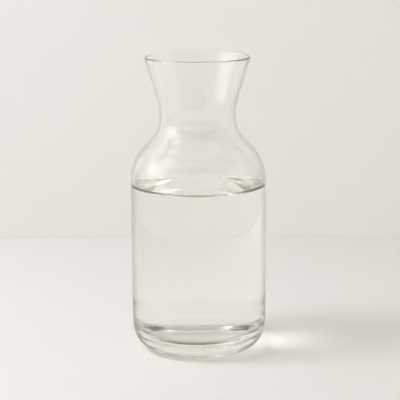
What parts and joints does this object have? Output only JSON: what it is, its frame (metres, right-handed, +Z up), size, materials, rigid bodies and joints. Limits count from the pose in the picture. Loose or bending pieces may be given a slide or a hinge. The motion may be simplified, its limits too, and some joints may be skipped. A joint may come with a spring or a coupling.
{
  "type": "water carafe",
  "caption": "Clear glass water carafe with a flared round mouth, a waisted neck, sloping shoulders and a straight-sided body with a rounded heel.",
  "frame": {"origin": "centre of the base ring, on the table plane", "axes": "+Z up along the carafe's axis of revolution; the part is the same all round"},
  "size_m": [0.1048, 0.1048, 0.23],
  "materials": {
    "clear_glass": "polished, clear"
  },
  "bodies": {
    "root": {"glass_body": "clear_glass"}
  },
  "joints": []
}
